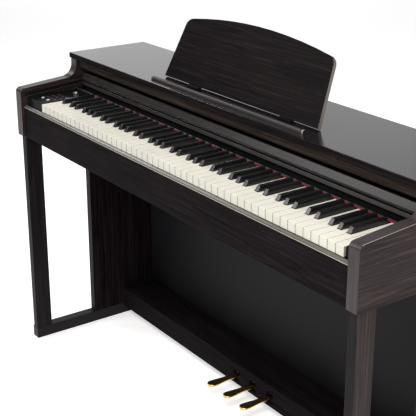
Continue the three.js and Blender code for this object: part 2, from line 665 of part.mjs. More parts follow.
// The steel angle that carries the pedals, and the screw foot under it.
function makePedalFrame() {
  const half = 130;
  const bottom = 30;
  const sheet = 4;
  const front = BOX_FRONT + BOX_WALL + sheet;
  const back = STAND_BACK - BOX_WALL;
  const top = PEDAL_TOP + 14;
  const angle = outline([
    [front, bottom], [back, bottom], [back, top], [back - sheet, top],
    [back - sheet, bottom + sheet], [front, bottom + sheet],
  ]);
  const screwRadius = 6;
  const screwTop = 42;
  const screwY = 150;
  const padRadius = 17;
  const hole = rod(screwRadius + 1, bottom - 1, bottom + sheet + 1, 0, screwY);
  place(stand, "pedal_frame", cut(across(angle, -half, half), hole), STEEL);
  place(stand, "adjuster_foot", turned([
    [0, FOOT_GAP], [padRadius - 1, FOOT_GAP], [padRadius, FOOT_GAP + 1], [padRadius, FOOT_GAP + 6],
    [padRadius - 3, FOOT_GAP + 8], [screwRadius, FOOT_GAP + 9], [screwRadius, screwTop], [0, screwTop],
  ], 0, screwY), BLACK_PLASTIC);
}

makeCabinet();
makeFascia();
makeFallStrip();
makeKeyCover();
makeCoverTracks();
makeKeyboard();
makeKeyFrame();
makeControlPanel();
makeControls();
makeMusicRest();
makeRestProp();
makeRestFittings();
makeSpeakers();
makeMainBoard();
makePowerInlet();
makeSides();
makePedalBox();
makePedals();
makePedalFrame();

export default piano;
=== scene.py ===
"""Looks of the digital piano on its stand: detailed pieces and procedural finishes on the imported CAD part."""

import math

import bmesh
import bpy
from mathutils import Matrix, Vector


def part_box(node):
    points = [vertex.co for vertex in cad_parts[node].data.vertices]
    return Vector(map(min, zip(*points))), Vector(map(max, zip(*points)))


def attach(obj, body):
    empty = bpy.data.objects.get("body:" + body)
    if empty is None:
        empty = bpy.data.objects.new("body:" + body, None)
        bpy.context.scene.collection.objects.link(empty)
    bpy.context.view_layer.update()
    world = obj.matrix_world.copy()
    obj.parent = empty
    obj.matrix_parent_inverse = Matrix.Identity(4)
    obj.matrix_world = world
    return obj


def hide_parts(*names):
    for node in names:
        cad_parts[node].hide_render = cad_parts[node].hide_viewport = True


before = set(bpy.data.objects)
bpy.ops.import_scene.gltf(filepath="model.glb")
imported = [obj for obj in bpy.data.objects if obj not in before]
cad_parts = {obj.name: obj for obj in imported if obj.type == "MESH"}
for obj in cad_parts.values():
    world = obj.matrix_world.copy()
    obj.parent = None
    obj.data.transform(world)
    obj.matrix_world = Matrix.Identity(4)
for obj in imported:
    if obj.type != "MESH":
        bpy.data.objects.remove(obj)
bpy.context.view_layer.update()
MM = 0.001


# ---- Procedural materials ----------------------------------------------------------------------
class Paint:
    """A material with its principled shader and short ways to add texture nodes."""

    def __init__(self, name, roughness=0.5, metallic=0.0, specular=0.5):
        self.material = bpy.data.materials.new(name)
        self.material.use_nodes = True
        self.tree = self.material.node_tree
        self.shader = self.tree.nodes["Principled BSDF"]
        self.shader.inputs["Roughness"].default_value = roughness
        self.shader.inputs["Metallic"].default_value = metallic
        self.shader.inputs["Specular IOR Level"].default_value = specular

    def link(self, source, target):
        self.tree.links.new(source, target)

    def coords(self, scale):
        """Object coordinates stretched by scale along each axis."""
        place = self.tree.nodes.new("ShaderNodeTexCoord")
        mapping = self.tree.nodes.new("ShaderNodeMapping")
        mapping.inputs["Scale"].default_value = scale
        self.link(place.outputs["Object"], mapping.inputs["Vector"])
        return mapping.outputs["Vector"]

    def noise(self, scale, detail=4.0, roughness=0.55, distortion=0.0):
        node = self.tree.nodes.new("ShaderNodeTexNoise")
        node.inputs["Scale"].default_value = 1.0
        node.inputs["Detail"].default_value = detail
        node.inputs["Roughness"].default_value = roughness
        node.inputs["Distortion"].default_value = distortion
        self.link(self.coords(scale), node.inputs["Vector"])
        return node.outputs["Fac"]

    def ramp(self, factor, stops):
        node = self.tree.nodes.new("ShaderNodeValToRGB")
        elements = node.color_ramp.elements
        while len(elements) < len(stops):
            elements.new(0.5)
        for element, (position, colour) in zip(elements, stops):
            element.position = position
            element.color = (*colour, 1.0)
        self.link(factor, node.inputs["Fac"])
        return node.outputs["Color"]

    def darken(self, colour, factor, low, high, amount):
        """Multiplies colour towards amount where factor runs from low to high."""
        mix = self.tree.nodes.new("ShaderNodeMix")
        mix.data_type = "RGBA"
        mix.blend_type = "MULTIPLY"
        self.link(self.remap(factor, low, high, 0.0, 1.0), mix.inputs["Factor"])
        self.link(colour, mix.inputs["A"])
        mix.inputs["B"].default_value = (amount, amount, amount, 1.0)
        return mix.outputs["Result"]

    def remap(self, factor, low, high, to_low, to_high):
        """factor, moved from the range low to high into to_low to to_high."""
        node = self.tree.nodes.new("ShaderNodeMapRange")
        for key, value in zip(("From Min", "From Max", "To Min", "To Max"), (low, high, to_low, to_high)):
            node.inputs[key].default_value = value
        self.link(factor, node.inputs["Value"])
        return node.outputs["Result"]

    def wave(self, factor, count):
        """Repeated bands, 0 to 1, along the rise of factor."""
        scale = self.tree.nodes.new("ShaderNodeMath")
        scale.operation = "MULTIPLY"
        scale.inputs[1].default_value = count
        self.link(factor, scale.inputs[0])
        fold = self.tree.nodes.new("ShaderNodeMath")
        fold.operation = "PINGPONG"
        fold.inputs[1].default_value = 1.0
        self.link(scale.outputs[0], fold.inputs[0])
        return fold.outputs[0]

    def colour(self, output):
        self.link(output, self.shader.inputs["Base Color"])

    def gloss(self, factor, low, high):
        """Roughness that follows factor from low to high."""
        self.link(self.remap(factor, 0.3, 0.7, low, high), self.shader.inputs["Roughness"])

    def bump(self, factor, strength, distance):
        node = self.tree.nodes.new("ShaderNodeBump")
        node.inputs["Strength"].default_value = strength
        node.inputs["Distance"].default_value = distance
        self.link(factor, node.inputs["Height"])
        self.link(node.outputs["Normal"], self.shader.inputs["Normal"])


def along(axis, fine, coarse):
    """A texture scale that is coarse along the grain axis and fine across it."""
    return tuple(coarse if i == axis else fine for i in range(3))


def wood(name, axis, dark, middle, light, figure_width=0.18, gloss=(0.36, 0.46), specular=0.25, bump=0.12):
    """Rosewood laminate with the grain along axis: a quiet figure, fine light streaks and dark pores."""
    paint = Paint(name, specular=specular)
    figure = paint.noise(along(axis, 16.0, 1.3), detail=5.0, roughness=0.55, distortion=0.9)
    streaks = paint.noise(along(axis, 260.0, 5.5), detail=4.0, roughness=0.62)
    pores = paint.noise(along(axis, 1100.0, 30.0), detail=2.0)
    base = paint.ramp(streaks, [(0.3, dark), (0.5, middle), (0.72, light)])
    rings = paint.wave(figure, 9.0)
    base = paint.darken(base, rings, 1.0 - figure_width, 1.0, 0.62)
    base = paint.darken(base, pores, 0.56, 0.72, 0.55)
    paint.colour(base)
    paint.gloss(streaks, *gloss)
    if bump:
        paint.bump(pores, bump, 0.00015)
    return paint.material


def plain(name, low, high, roughness, grain=260.0, bump=0.1, specular=0.5):
    """A moulded or painted finish: a faint mottling in colour and gloss, and a fine surface texture."""
    paint = Paint(name, specular=specular)
    mottle = paint.noise((9.0, 9.0, 9.0), detail=3.0)
    fine = paint.noise((grain, grain, grain), detail=2.0)
    paint.colour(paint.ramp(mottle, [(0.3, low), (0.7, high)]))
    paint.gloss(mottle, roughness - 0.04, roughness + 0.05)
    paint.bump(fine, bump, 0.0002)
    return paint.material


def brushed(name, low, high, roughness, axis):
    """Bare metal with fine lines along axis."""
    paint = Paint(name, metallic=1.0)
    lines = paint.noise(along(axis, 700.0, 9.0), detail=3.0)
    paint.colour(paint.ramp(lines, [(0.35, low), (0.65, high)]))
    paint.gloss(lines, roughness - 0.06, roughness + 0.08)
    paint.bump(lines, 0.08, 0.0001)
    return paint.material


def felt(name, low, high):
    """Dyed felt with short fibres."""
    paint = Paint(name, roughness=0.95, specular=0.2)
    paint.shader.inputs["Sheen Weight"].default_value = 0.05
    fibres = paint.noise((1400.0, 900.0, 1400.0), detail=4.0, roughness=0.7)
    paint.colour(paint.ramp(fibres, [(0.3, low), (0.7, high)]))
    paint.bump(fibres, 0.5, 0.0005)
    return paint.material


def particle_board(name):
    """Raw board of pressed chips."""
    paint = Paint(name, roughness=0.85, specular=0.2)
    chips = paint.noise((240.0, 240.0, 240.0), detail=3.0)
    tones = [(0.35, (0.16, 0.1, 0.055)), (0.5, (0.26, 0.18, 0.1)), (0.65, (0.4, 0.3, 0.19))]
    paint.colour(paint.ramp(chips, tones))
    paint.bump(chips, 0.35, 0.0006)
    return paint.material


# Laminates: the dark, middle and light tone of each
FRONT_WOOD = ((0.0058, 0.0045, 0.0053), (0.0094, 0.0075, 0.0084), (0.0195, 0.0152, 0.0158))
# Side faces: the front laminate painted about twice as light and redder, as painted light falling on the sides.
SIDE_WOOD_LIT = ((0.0110, 0.0070, 0.0072), (0.0200, 0.0130, 0.0126), (0.052, 0.0345, 0.0320))
EDGE_WOOD = ((0.024, 0.0170, 0.0178), (0.034, 0.0248, 0.0252), (0.052, 0.0385, 0.0385))
REST_WOOD = ((0.0046, 0.0032, 0.0036), (0.0070, 0.0050, 0.0053), (0.019, 0.0132, 0.0132))
RAIL_WOOD = ((0.014, 0.0112, 0.0115), (0.021, 0.0180, 0.0170), (0.034, 0.0300, 0.0270))
FASCIA_WOOD = ((0.0140, 0.0102, 0.0092), (0.0275, 0.0205, 0.0175), (0.060, 0.0450, 0.0370))
# Inner faces of the side panels: the laminate painted darker, as painted shade inside the stand.
INNER_WOOD_SHADED = ((0.0035, 0.0024, 0.0030), (0.0065, 0.0045, 0.0052), (0.017, 0.0115, 0.0115))

# Finishes of wood, named for their place or the axis of their grain
WOOD_X = wood("rosewood_front", 0, *FRONT_WOOD, specular=0.004)
WOOD_Z = wood("rosewood_upright", 2, *FRONT_WOOD, specular=0.05)
WOOD_FASCIA = wood("rosewood_fascia", 0, *FASCIA_WOOD, specular=0.01)
# Sideways faces of cheeks, legs and side panels: the lighter laminate, painted light.
WOOD_SIDE_LIT = wood("rosewood_side_painted_light", 1, *SIDE_WOOD_LIT, figure_width=0.3, specular=0.1)
WOOD_LEG_SIDE_LIT = wood("rosewood_leg_side_painted_light", 2, *SIDE_WOOD_LIT, figure_width=0.3, specular=0.1)
WOOD_INNER_SHADE = wood("rosewood_inner_painted_shade", 2, *INNER_WOOD_SHADED, specular=0.01)
WOOD_FOOT = wood("rosewood_foot", 1, *FRONT_WOOD, specular=0.1)
WOOD_EDGE = wood("rosewood_edge", 1, *EDGE_WOOD, specular=0.3, gloss=(0.32, 0.36), bump=0.01)
WOOD_NOSE = wood("rosewood_nose", 2, *EDGE_WOOD, specular=0.2, gloss=(0.34, 0.38), bump=0.01)
WOOD_REST = wood("rosewood_rest", 0, *REST_WOOD, figure_width=0.4, specular=0.025)
WOOD_RAIL = wood("rosewood_rail", 0, *RAIL_WOOD, specular=0.22, gloss=(0.26, 0.3), bump=0.01)
WOOD_TOP = wood("rosewood_gloss", 0, *FRONT_WOOD, gloss=(0.15, 0.17), specular=0.4, bump=0.0)

# Other finishes
PANEL = plain("kick_panel_laminate", (0.0088, 0.0082, 0.0096), (0.0128, 0.0120, 0.0138), 0.5,
              grain=420.0, specular=0.1)
RAW = particle_board("particle_board")
IVORY = plain("natural_key", (0.61, 0.585, 0.505), (0.66, 0.635, 0.555), 0.34,
              grain=300.0, bump=0.005, specular=0.1)
# Key fronts a little darker than the tops, as painted shade; key sides much darker, as painted shade in the
# gaps between keys.
IVORY_FRONT_SHADE = plain("natural_key_front_painted_shade", (0.49, 0.47, 0.40), (0.54, 0.52, 0.45), 0.3, grain=300.0, bump=0.005)
IVORY_GAP_SHADE = plain("natural_key_side_painted_shade", (0.21, 0.19, 0.145), (0.27, 0.245, 0.19), 0.5, grain=500.0)
EBONY = plain("sharp_key", (0.0040, 0.0040, 0.0044), (0.0068, 0.0068, 0.0072), 0.27, grain=900.0, bump=0.02)
BLACK = plain("black_plastic", (0.0042, 0.0042, 0.0046), (0.007, 0.007, 0.0075), 0.24,
              grain=800.0, bump=0.02, specular=0.03)
GROOVE = plain("black_rubber_track", (0.002, 0.002, 0.0022), (0.004, 0.004, 0.0042), 0.7,
               grain=500.0, specular=0.1)
LEDGE = plain("ledge_satin", (0.030, 0.0285, 0.0255), (0.040, 0.0380, 0.0340), 0.4,
              grain=500.0, bump=0.005, specular=0.2)
LEDGE_CAP = plain("ledge_cap_satin", (0.17, 0.165, 0.15), (0.21, 0.205, 0.19), 0.3, grain=500.0, bump=0.01)
SMOKED = brushed("smoked_chrome", (0.24, 0.24, 0.245), (0.32, 0.32, 0.325), 0.22, 2)
# The music rest's side edges painted pale: a painted highlight.
REST_EDGE_HIGHLIGHT = plain("rest_edge_painted_highlight", (0.11, 0.094, 0.086), (0.15, 0.13, 0.12), 0.4, grain=400.0, bump=0.05)
# Dark grey, lighter than the black plastic, for frames, rings and lips: a painted highlight along their edges.
RING_EDGE_HIGHLIGHT = plain("dark_ring_painted_highlight", (0.035, 0.035, 0.036), (0.05, 0.05, 0.051), 0.26, grain=500.0)
GREY = plain("grey_plastic", (0.42, 0.42, 0.43), (0.5, 0.5, 0.51), 0.34, grain=500.0)
BUTTON = plain("button_black", (0.011, 0.011, 0.012), (0.018, 0.018, 0.019), 0.24, grain=500.0)
# Light brown-beige for the shelf on the slip's top: a painted reflection of the keys.
SLIP_TOP_REFLECTION = plain("slip_top_painted_reflection", (0.075, 0.068, 0.053), (0.092, 0.084, 0.067), 0.3,
                 grain=300.0, bump=0.005, specular=0.25)
# Pale bead on the slip's front arris: a painted highlight.
SLIP_ARRIS_HIGHLIGHT = plain("slip_arris_highlight", (0.34, 0.32, 0.275), (0.40, 0.38, 0.33), 0.35,
             grain=400.0, bump=0.01, specular=0.2)
# Pale line on the cheeks' outer arrises: a painted highlight.
ARRIS_HIGHLIGHT = plain("painted_arris_highlight", (0.30, 0.26, 0.245), (0.36, 0.31, 0.295), 0.3, grain=400.0, bump=0.01)
FELT = felt("red_felt", (0.42, 0.003, 0.012), (0.62, 0.008, 0.028))
STEEL = brushed("zinc_steel", (0.42, 0.42, 0.43), (0.6, 0.6, 0.61), 0.34, 0)
DARK_STEEL = brushed("dark_steel", (0.05, 0.05, 0.052), (0.08, 0.08, 0.083), 0.4, 0)
BRASS = brushed("polished_brass", (0.62, 0.42, 0.15), (0.8, 0.57, 0.22), 0.2, 1)
CIRCUIT = plain("circuit_board", (0.01, 0.06, 0.025), (0.02, 0.1, 0.04), 0.45)
RUBBER = plain("rubber", (0.012, 0.012, 0.012), (0.022, 0.022, 0.022), 0.75, grain=300.0, bump=0.3)
CONE = plain("speaker_cone", (0.02, 0.02, 0.02), (0.035, 0.035, 0.035), 0.7, grain=500.0, bump=0.3)


# ---- Mesh helpers ------------------------------------------------------------------------------
def mesh_object(name, bm, material, bevel=0.0, segments=3):
    """Turns bm into an object with one material, with its arrises rounded by bevel."""
    bmesh.ops.recalc_face_normals(bm, faces=bm.faces)
    mesh = bpy.data.meshes.new(name)
    bm.to_mesh(mesh)
    bm.free()
    obj = bpy.data.objects.new(name, mesh)
    bpy.context.scene.collection.objects.link(obj)
    mesh.materials.append(material)
    if bevel:
        soften(obj, bevel, segments)
    else:
        mesh.shade_smooth()
    return obj


ROUNDED_ABOVE = math.radians(35)
SPLIT_ABOVE = math.radians(50)
WELD_DISTANCE = 0.02 * MM


def soften(obj, width, segments=3, weld=False):
    """Rounds the arrises of obj and keeps its broad faces flat."""
    if weld:
        joiner = obj.modifiers.new("weld", "WELD")
        joiner.merge_threshold = WELD_DISTANCE
    bevel = obj.modifiers.new("arris", "BEVEL")
    bevel.width = width
    bevel.segments = segments
    bevel.limit_method = "ANGLE"
    bevel.angle_limit = ROUNDED_ABOVE
    bevel.use_clamp_overlap = True
    obj.data.shade_smooth()
    normals = obj.modifiers.new("flat_faces", "WEIGHTED_NORMAL")
    normals.keep_sharp = False
    normals.weight = 60


def split_edges(obj):
    """Keeps the sharp edges of a turned piece crisp."""
    edges = obj.modifiers.new("edges", "EDGE_SPLIT")
    edges.split_angle = SPLIT_ABOVE
    return obj


def loft(bm, rings):
    """Joins rings of equal length into a skin, with end caps."""
    loops = [[bm.verts.new(point) for point in ring] for ring in rings]
    count = len(loops[0])
    for low, high in zip(loops, loops[1:]):
        for i in range(count):
            j = (i + 1) % count
            bm.faces.new((low[i], low[j], high[j], high[i]))
    bm.faces.new(list(reversed(loops[0])))
    bm.faces.new(loops[-1])


def box_into(bm, low, high):
    """A block between two corners, for pieces made of many blocks."""
    (x0, y0, z0), (x1, y1, z1) = low, high
    rings = [[(x0, y0, z), (x1, y0, z), (x1, y1, z), (x0, y1, z)] for z in (z0, z1)]
    loft(bm, rings)


def slab(name, low, high, material, bevel):
    """A thin strip between two corners, with rounded arrises."""
    bm = bmesh.new()
    box_into(bm, low, high)
    return mesh_object(name, bm, material, bevel)


def turn_into(bm, profile, centre, sides=40, axis=2):
    """A turned skin from (radius, height) pairs, standing on centre along axis."""
    rings = []
    for radius, height in profile:
        ring = []
        for i in range(sides):
            a = 2 * math.pi * i / sides
            flat = [radius * math.cos(a), radius * math.sin(a)]
            flat.insert(axis, height)
            ring.append(Vector(centre) + Vector(flat))
        rings.append(ring)
    loft(bm, rings)


def turned(name, profile, centre, material, sides):
    """An upright turned piece from (radius, height) pairs."""
    bm = bmesh.new()
    turn_into(bm, profile, centre, sides)
    return split_edges(mesh_object(name, bm, material))


def hoop_into(bm, section, centre, sides):
    """A ring: section is a closed outline of (radius, height) pairs, turned about the z axis."""
    loops = []
    for i in range(sides):
        a = 2 * math.pi * i / sides
        loops.append([bm.verts.new(Vector(centre) + Vector((r * math.cos(a), r * math.sin(a), h)))
                      for r, h in section])
    count = len(section)
    for i in range(sides):
        here, after = loops[i], loops[(i + 1) % sides]
        for k in range(count):
            m = (k + 1) % count
            bm.faces.new((here[k], after[k], after[m], here[m]))


def hoop(name, section, centre, material, sides):
    """A ring as a piece of its own."""
    bm = bmesh.new()
    hoop_into(bm, section, centre, sides)
    return split_edges(mesh_object(name, bm, material))


def in_mm(pairs):
    """Pairs given in millimetres, in metres."""
    return [(a * MM, b * MM) for a, b in pairs]


def fit(obj, body, slot=None, *replaced):
    """obj rides body and stands for the replaced CAD nodes; slot, the record's material slot, is not used."""
    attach(obj, body)
    if replaced:
        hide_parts(*replaced)
    return obj


def finish_node(name, material, bevel=0.0, others=()):
    """Gives a CAD node its material, other ones on the faces their tests pick, and soft arrises."""
    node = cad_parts[name]
    node.data.materials.clear()
    node.data.materials.append(material)
    paint_faces(node, others)
    if bevel:
        soften(node, bevel, weld=True)


def paint_faces(obj, others):
    """Gives obj each of the other materials on the faces that its test picks."""
    for index, (other, picks) in enumerate(others, start=1):
        obj.data.materials.append(other)
        for face in obj.data.polygons:
            if picks(face.normal):
                face.material_index = index


def sideways(normal):
    return abs(normal.x) > 0.6


def rightward(normal):
    return normal.x > 0.6


def leftward(normal):
    return normal.x < -0.6


def endward(normal):
    return abs(normal.y) > 0.95


def upward(normal):
    return normal.z > 0.5


# ---- Finishes of the CAD nodes -----------------------------------------------------------------
NODE_FINISHES = {
    WOOD_X: {"key_slip": 0.8, "key_cover": 0.6, "pedal_box": 0.8},
    WOOD_FASCIA: {"fascia": 0.8},
    LEDGE: {"music_ledge": 0.6},
    WOOD_FOOT: {"left_foot_rail": 1.0, "right_foot_rail": 1.0},
    PANEL: {"rear_panel": 0.5, "kick_board": 0.5},
    RAW: {"key_bed": 0.5},
    BLACK: {"fall_strip": 0.5, "control_panel": 2.0, "right_key_block": 1.0, "left_rest_block": 0.5,
            "right_rest_block": 0.5, "power_inlet": 0.8},
    GROOVE: {"left_cover_track": 0.4, "right_cover_track": 0.4},
    CONE: {"left_speaker": 0.4, "right_speaker": 0.4},
    STEEL: {"key_frame": 0.5, "rest_prop": 0.4},
    DARK_STEEL: {"pedal_frame": 0.5},
    CIRCUIT: {"main_board": 0.2},
}


def finish_cad_nodes():
    """Materials and soft arrises of the CAD nodes that stay visible."""
    for material, nodes in NODE_FINISHES.items():
        for name, bevel in nodes.items():
            finish_node(name, material, bevel * MM)
    finish_node("top_board", WOOD_X, 1.2 * MM, [(WOOD_TOP, upward)])
    # The rest's side edges take the pale finish, a painted highlight.
    finish_node("music_rest", WOOD_REST, 1.4 * MM, [(REST_EDGE_HIGHLIGHT, sideways)])
    for side in ("left", "right"):
        # Sideways faces take the lighter side laminate, painted light on the sides.
        finish_node(f"{side}_cheek", WOOD_EDGE, 1.8 * MM, [(WOOD_NOSE, endward), (WOOD_SIDE_LIT, sideways)])
        inner = rightward if side == "left" else leftward
        finish_node(f"{side}_leg", WOOD_Z, 1.0 * MM, [(WOOD_LEG_SIDE_LIT, sideways), (WOOD_Z, inner)])
        # The side panels' inner faces take the darker laminate: painted shade.
        finish_node(f"{side}_side_panel", WOOD_Z, 1.0 * MM, [(WOOD_LEG_SIDE_LIT, sideways), (WOOD_INNER_SHADE, inner)])


# ---- Keyboard ----------------------------------------------------------------------------------
NATURALS = 52
SINGLE_FIRST, SINGLE_COUNT = 23, 7  # the naturals of the octave with keys of their own
LETTERS = "cdefgab"
CAD_GAP = 0.02  # a side, as a share of a natural's pitch
KEY_GAP = 0.47 * MM
HEAD = 50 * MM
SHARP_RAISED = 97.9 * MM
SHARP_FOOT = 10.6 * MM
SHARP_TAIL = 8 * MM


def box_centre(name):
    """The middle of a CAD node's box in x and y."""
    low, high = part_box(name)
    return (low.x + high.x) / 2, (low.y + high.y) / 2


def letter_of(white):
    """Place in the octave, 0 for c to 6 for b, of a natural counted from the bass end."""
    return (white + 5) % 7


def keyboard_span():
    """The left end of the keyboard and the pitch of its naturals, whose gaps are CAD_GAP a side."""
    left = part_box("lower_naturals")[0].x
    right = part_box("upper_naturals")[1].x
    pitch = (right - left) / (NATURALS - 2 * CAD_GAP)
    return left - CAD_GAP * pitch, pitch


def tail_span(white):
    """The sides of a natural's narrow back part."""
    left, pitch = keyboard_span()
    letter = letter_of(white)
    low = letter < 3
    share = pitch * (3 / 5 if low else 4 / 7)
    start = left + (white - letter) * pitch + (0 if low else 3 * pitch)
    index = 2 * (letter if low else letter - 3)
    return start + index * share, start + (index + 1) * share


def rounded_front(x0, x1, y0, radius=1.1 * MM, steps=3):
    """The two rounded front corners of a natural, from left to right."""
    points = []
    for centre, start in ((x0 + radius, math.pi), (x1 - radius, 1.5 * math.pi)):
        for i in range(steps + 1):
            a = start + 0.5 * math.pi * i / steps
            points.append((centre + radius * math.cos(a), y0 + radius + radius * math.sin(a)))
    return points


def natural_into(bm, white):
    """One natural: a wide head with rounded front corners, and a narrow tail."""
    left, pitch = keyboard_span()
    low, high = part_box("key_c4")
    x0, x1 = left + white * pitch + KEY_GAP, left + (white + 1) * pitch - KEY_GAP
    tail0, tail1 = tail_span(white)
    back0 = x0 if white == 0 else max(x0, tail0 + KEY_GAP)
    back1 = x1 if white == NATURALS - 1 else min(x1, tail1 - KEY_GAP)
    head_end = low.y + HEAD
    outline = rounded_front(x0, x1, low.y)
    outline += [(x1, head_end)] + ([(back1, head_end)] if back1 < x1 else [])
    outline += [(back1, high.y), (back0, high.y)]
    outline += ([(back0, head_end)] if back0 > x0 else []) + [(x0, head_end)]
    loft(bm, [[(x, y, z) for x, y in outline] for z in (low.z, high.z)])


def sharp_into(bm, white):
    """One sharp: a tapered raised part with a sloped front, and a low tail."""
    low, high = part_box("key_c_sharp4")
    half = (high.x - low.x) / 2
    centre = (tail_span(white)[1] + tail_span(white + 1)[0]) / 2
    raised_end = low.y + SHARP_RAISED
    foot, crown = low.z + SHARP_FOOT, high.z
    rings = []
    for z, width, front, back in (
        (low.z, half, low.y, raised_end),
        (foot, half, low.y, raised_end),
        (foot + 0.8 * (crown - foot), half - 1.1 * MM, low.y + 6.4 * MM, raised_end - 0.6 * MM),
        (crown, half - 1.9 * MM, low.y + 8.0 * MM, raised_end - 2.2 * MM),
    ):
        rings.append([(centre - width, front, z), (centre + width, front, z),
                      (centre + width, back, z), (centre - width, back, z)])
    loft(bm, rings)
    box_into(bm, (centre - half, raised_end - 5 * MM, low.z), (centre + half, high.y, low.z + SHARP_TAIL))


def has_sharp(white):
    """True unless the natural is an e, a b or the last c."""
    return letter_of(white) not in (2, 6) and white < NATURALS - 1


def key_set(name, body, whites, sharp):
    """The naturals in whites, or the sharps that follow them, as one piece on body."""
    members = [w for w in whites if has_sharp(w)] if sharp else list(whites)
    bm = bmesh.new()
    for white in members:
        (sharp_into if sharp else natural_into)(bm, white)
    if sharp:
        fit(mesh_object(name, bm, EBONY, 0.45 * MM, 2), body, "ebony", body)
    else:
        obj = mesh_object(name, bm, IVORY, 0.8 * MM)
        # Fronts and sides take the darker ivories: painted shade on the fronts and in the gaps between keys.
        paint_faces(obj, [(IVORY_FRONT_SHADE, endward), (IVORY_GAP_SHADE, sideways)])
        fit(obj, body, "ivory", body)


def make_keyboard():
    """The four combs, and the keys of the octave that play one by one."""
    after = SINGLE_FIRST + SINGLE_COUNT
    for register, whites in (("lower", range(SINGLE_FIRST)), ("upper", range(after, NATURALS))):
        key_set(f"{register}_natural_keys", f"{register}_naturals", whites, False)
        key_set(f"{register}_sharp_keys", f"{register}_sharps", whites, True)
    for white in range(SINGLE_FIRST, after):
        letter = LETTERS[letter_of(white)]
        key_set(f"natural_{letter}", f"key_{letter}4", [white], False)
        if has_sharp(white):
            key_set(f"sharp_{letter}", f"key_{letter}_sharp4", [white], True)


# ---- Trim around the keys ----------------------------------------------------------------------
def moulding(name, x0, x1, origin, outline, material, bevel=0.4 * MM):
    """A bar along x. Its section is the closed outline of (y, z) pairs in mm from origin, a (y, z) point."""
    bm = bmesh.new()
    loft(bm, [[(x, origin[0] + y, origin[1] + z) for y, z in in_mm(outline)] for x in (x0, x1)])
    return mesh_object(name, bm, material, bevel)


def make_cover_rail():
    """The key cover's front rail: a beaded foot and a face that leans back."""
    low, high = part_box("cover_rail")
    outline = [(0, 0), (0, 1.3), (0.9, 1.6), (0.9, 2.3), (0, 2.6), (0, 4.0), (0.9, 4.3), (0.9, 5.0),
               (0, 5.3), (7.4, 21.0), (12.0, 21.0), (12.0, 0)]
    rail = moulding("cover_rail_moulded", low.x, high.x, (low.y, low.z), outline, WOOD_RAIL, 0.25 * MM)
    fit(rail, "key_cover", "rosewood", "cover_rail")


def make_trim():
    """The light band and lip of the strip behind the keys, the felt, a pale bead on the slip's front arris as a
    painted highlight, and a shelf on the slip's top painted as a reflection of the keys.
    """
    low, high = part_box("fall_strip")
    face_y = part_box("cover_rail")[0].y
    outline = [(-3.6, -8.2), (2.0, -8.2), (2.0, -0.5), (-0.6, -0.5)]
    band = moulding("strip_light_band", low.x, high.x, (face_y, high.z), outline, WOOD_RAIL)
    fit(band, "cabinet", "black_plastic")
    # The lip is dark grey as a painted highlight.
    lip = slab("strip_lip", (low.x, low.y - 0.6 * MM, low.z + 0.1 * MM),
               (high.x, low.y + 3 * MM, low.z + 2.9 * MM), RING_EDGE_HIGHLIGHT, 0.6 * MM)
    fit(lip, "cabinet", "black_plastic")
    low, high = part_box("key_felt")
    felt_strip = slab("felt_strip", (low.x, low.y + 3.5 * MM, low.z), high, FELT, 0.5 * MM)
    fit(felt_strip, "cabinet", "red_felt", "key_felt")
    low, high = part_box("key_slip")
    # A pale bead along the slip's front arris, a painted highlight.
    bead = slab("slip_arris_highlight", (low.x, low.y + 0.4 * MM, high.z - 0.5 * MM),
                (high.x, low.y + 1.7 * MM, high.z + 0.8 * MM), SLIP_ARRIS_HIGHLIGHT, 0.5 * MM)
    fit(bead, "cabinet", "rosewood")
    # A shelf on the slip's top, painted as a reflection of the keys.
    outline = [(-3.6, -0.4), (1.6, -0.4), (1.6, 6.8), (-2.2, 4.0), (-3.6, 2.4)]
    shelf = moulding("slip_shelf", low.x, high.x, (high.y, high.z), outline, SLIP_TOP_REFLECTION)
    fit(shelf, "cabinet", "rosewood")


def make_cheek_highlights():
    """A painted highlight: a pale line along the outer arris of each cheek's top, from behind its nose to the
    top board.
    """
    for side, outward in (("left", -1), ("right", 1)):
        low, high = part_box(f"{side}_cheek")
        face = high.x if outward > 0 else low.x
        tops = {}
        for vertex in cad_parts[f"{side}_cheek"].data.vertices:
            if abs(vertex.co.x - face) < 0.1 * MM:
                y = round(vertex.co.y, 4)
                tops[y] = max(vertex.co.z, tops.get(y, low.z))
        first, last = low.y + 6 * MM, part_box("top_board")[0].z - 6 * MM
        curve = [Vector((0, y, tops[y])) for y in sorted(tops) if y > first and tops[y] < last]
        curve = [p for i, p in enumerate(curve) if all(p.z >= q.z - 0.05 * MM for q in curve[:i])]
        bm = bmesh.new()
        rings = []
        for i, point in enumerate(curve):
            run = curve[min(i + 1, len(curve) - 1)] - curve[max(i - 1, 0)]
            lift = Vector((0, -run.z, run.y)).normalized()
            rings.append([point + Vector((face - outward * inset * MM, 0, 0)) + lift * rise * MM
                          for inset, rise in ((0.1, -0.6), (1.5, -0.6), (1.5, 0.2), (0.1, 0.2))])
        loft(bm, rings)
        fit(mesh_object(f"{side}_cheek_highlight", bm, ARRIS_HIGHLIGHT, 0.1 * MM), "cabinet", "rosewood")


def make_track_lips():
    """A thin dark grey lip under each black track of the key cover, a painted highlight line."""
    for side in ("left", "right"):
        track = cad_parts[f"{side}_cover_track"]
        low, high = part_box(f"{side}_cover_track")
        rise = track_height(track)
        bm = bmesh.new()
        outline = [(low.y, low.z - 0.2 * MM), (high.y, high.z - rise - 0.2 * MM),
                   (high.y, high.z - rise - 1.6 * MM), (low.y, low.z - 1.6 * MM)]
        loft(bm, [[(x, y, z) for y, z in outline] for x in (low.x + 0.2 * MM, high.x - 0.2 * MM)])
        fit(mesh_object(f"{side}_track_lip", bm, RING_EDGE_HIGHLIGHT, 0.3 * MM), "cabinet", "black_plastic")


def track_height(track):
    """Height of the track's end face."""
    front = min(v.co.y for v in track.data.vertices)
    ends = [v.co.z for v in track.data.vertices if v.co.y < front + 0.5 * MM]
    return max(ends) - min(ends)


